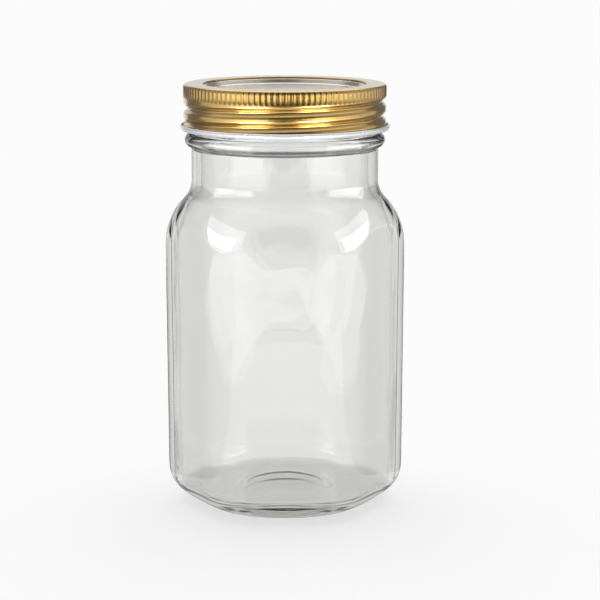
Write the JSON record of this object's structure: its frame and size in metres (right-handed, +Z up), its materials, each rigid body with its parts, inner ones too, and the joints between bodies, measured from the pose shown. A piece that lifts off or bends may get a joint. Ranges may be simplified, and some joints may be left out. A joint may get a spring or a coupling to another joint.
{
  "type": "mason jar",
  "caption": "Glass preserving jar with a hexagonal body and round threaded neck, closed by a flat lid with a sealing ring and a screw band.",
  "frame": {"origin": "middle of the base, on the surface that the jar stands on", "axes": "+Z up along the jar's axis, +X through a rounded corner of the hexagonal body, -Y through the flat panel that faces the viewer"},
  "size_m": [0.0858, 0.0784, 0.1517],
  "materials": {
    "clear_glass": "clear, polished",
    "gold_tinplate": "gold lacquered tinplate, bright satin",
    "lid_tinplate": "gold lacquered tinplate, satin",
    "sealing_compound": "soft, matt"
  },
  "bodies": {
    "jar": {"glass_jar": "clear_glass"},
    "lid": {"flat_lid": "lid_tinplate", "sealing_ring": "sealing_compound"},
    "band": {"screw_band": "gold_tinplate"}
  },
  "joints": [
    {"name": "lid_lift", "type": "slide", "parent": "jar", "child": "lid", "axis": [0, 0, 1], "range_m": [0, 0.01526]},
    {"name": "band_turn", "type": "hinge", "parent": "lid", "child": "band", "pos_m": [0, 0, 0.1435], "axis": [0, 0, 1], "range_deg": [0, 1080]}
  ],
  "couplings": [
    {"joint": "lid_lift", "follows": "band_turn", "m_per_rad": 0.00080851}
  ]
}
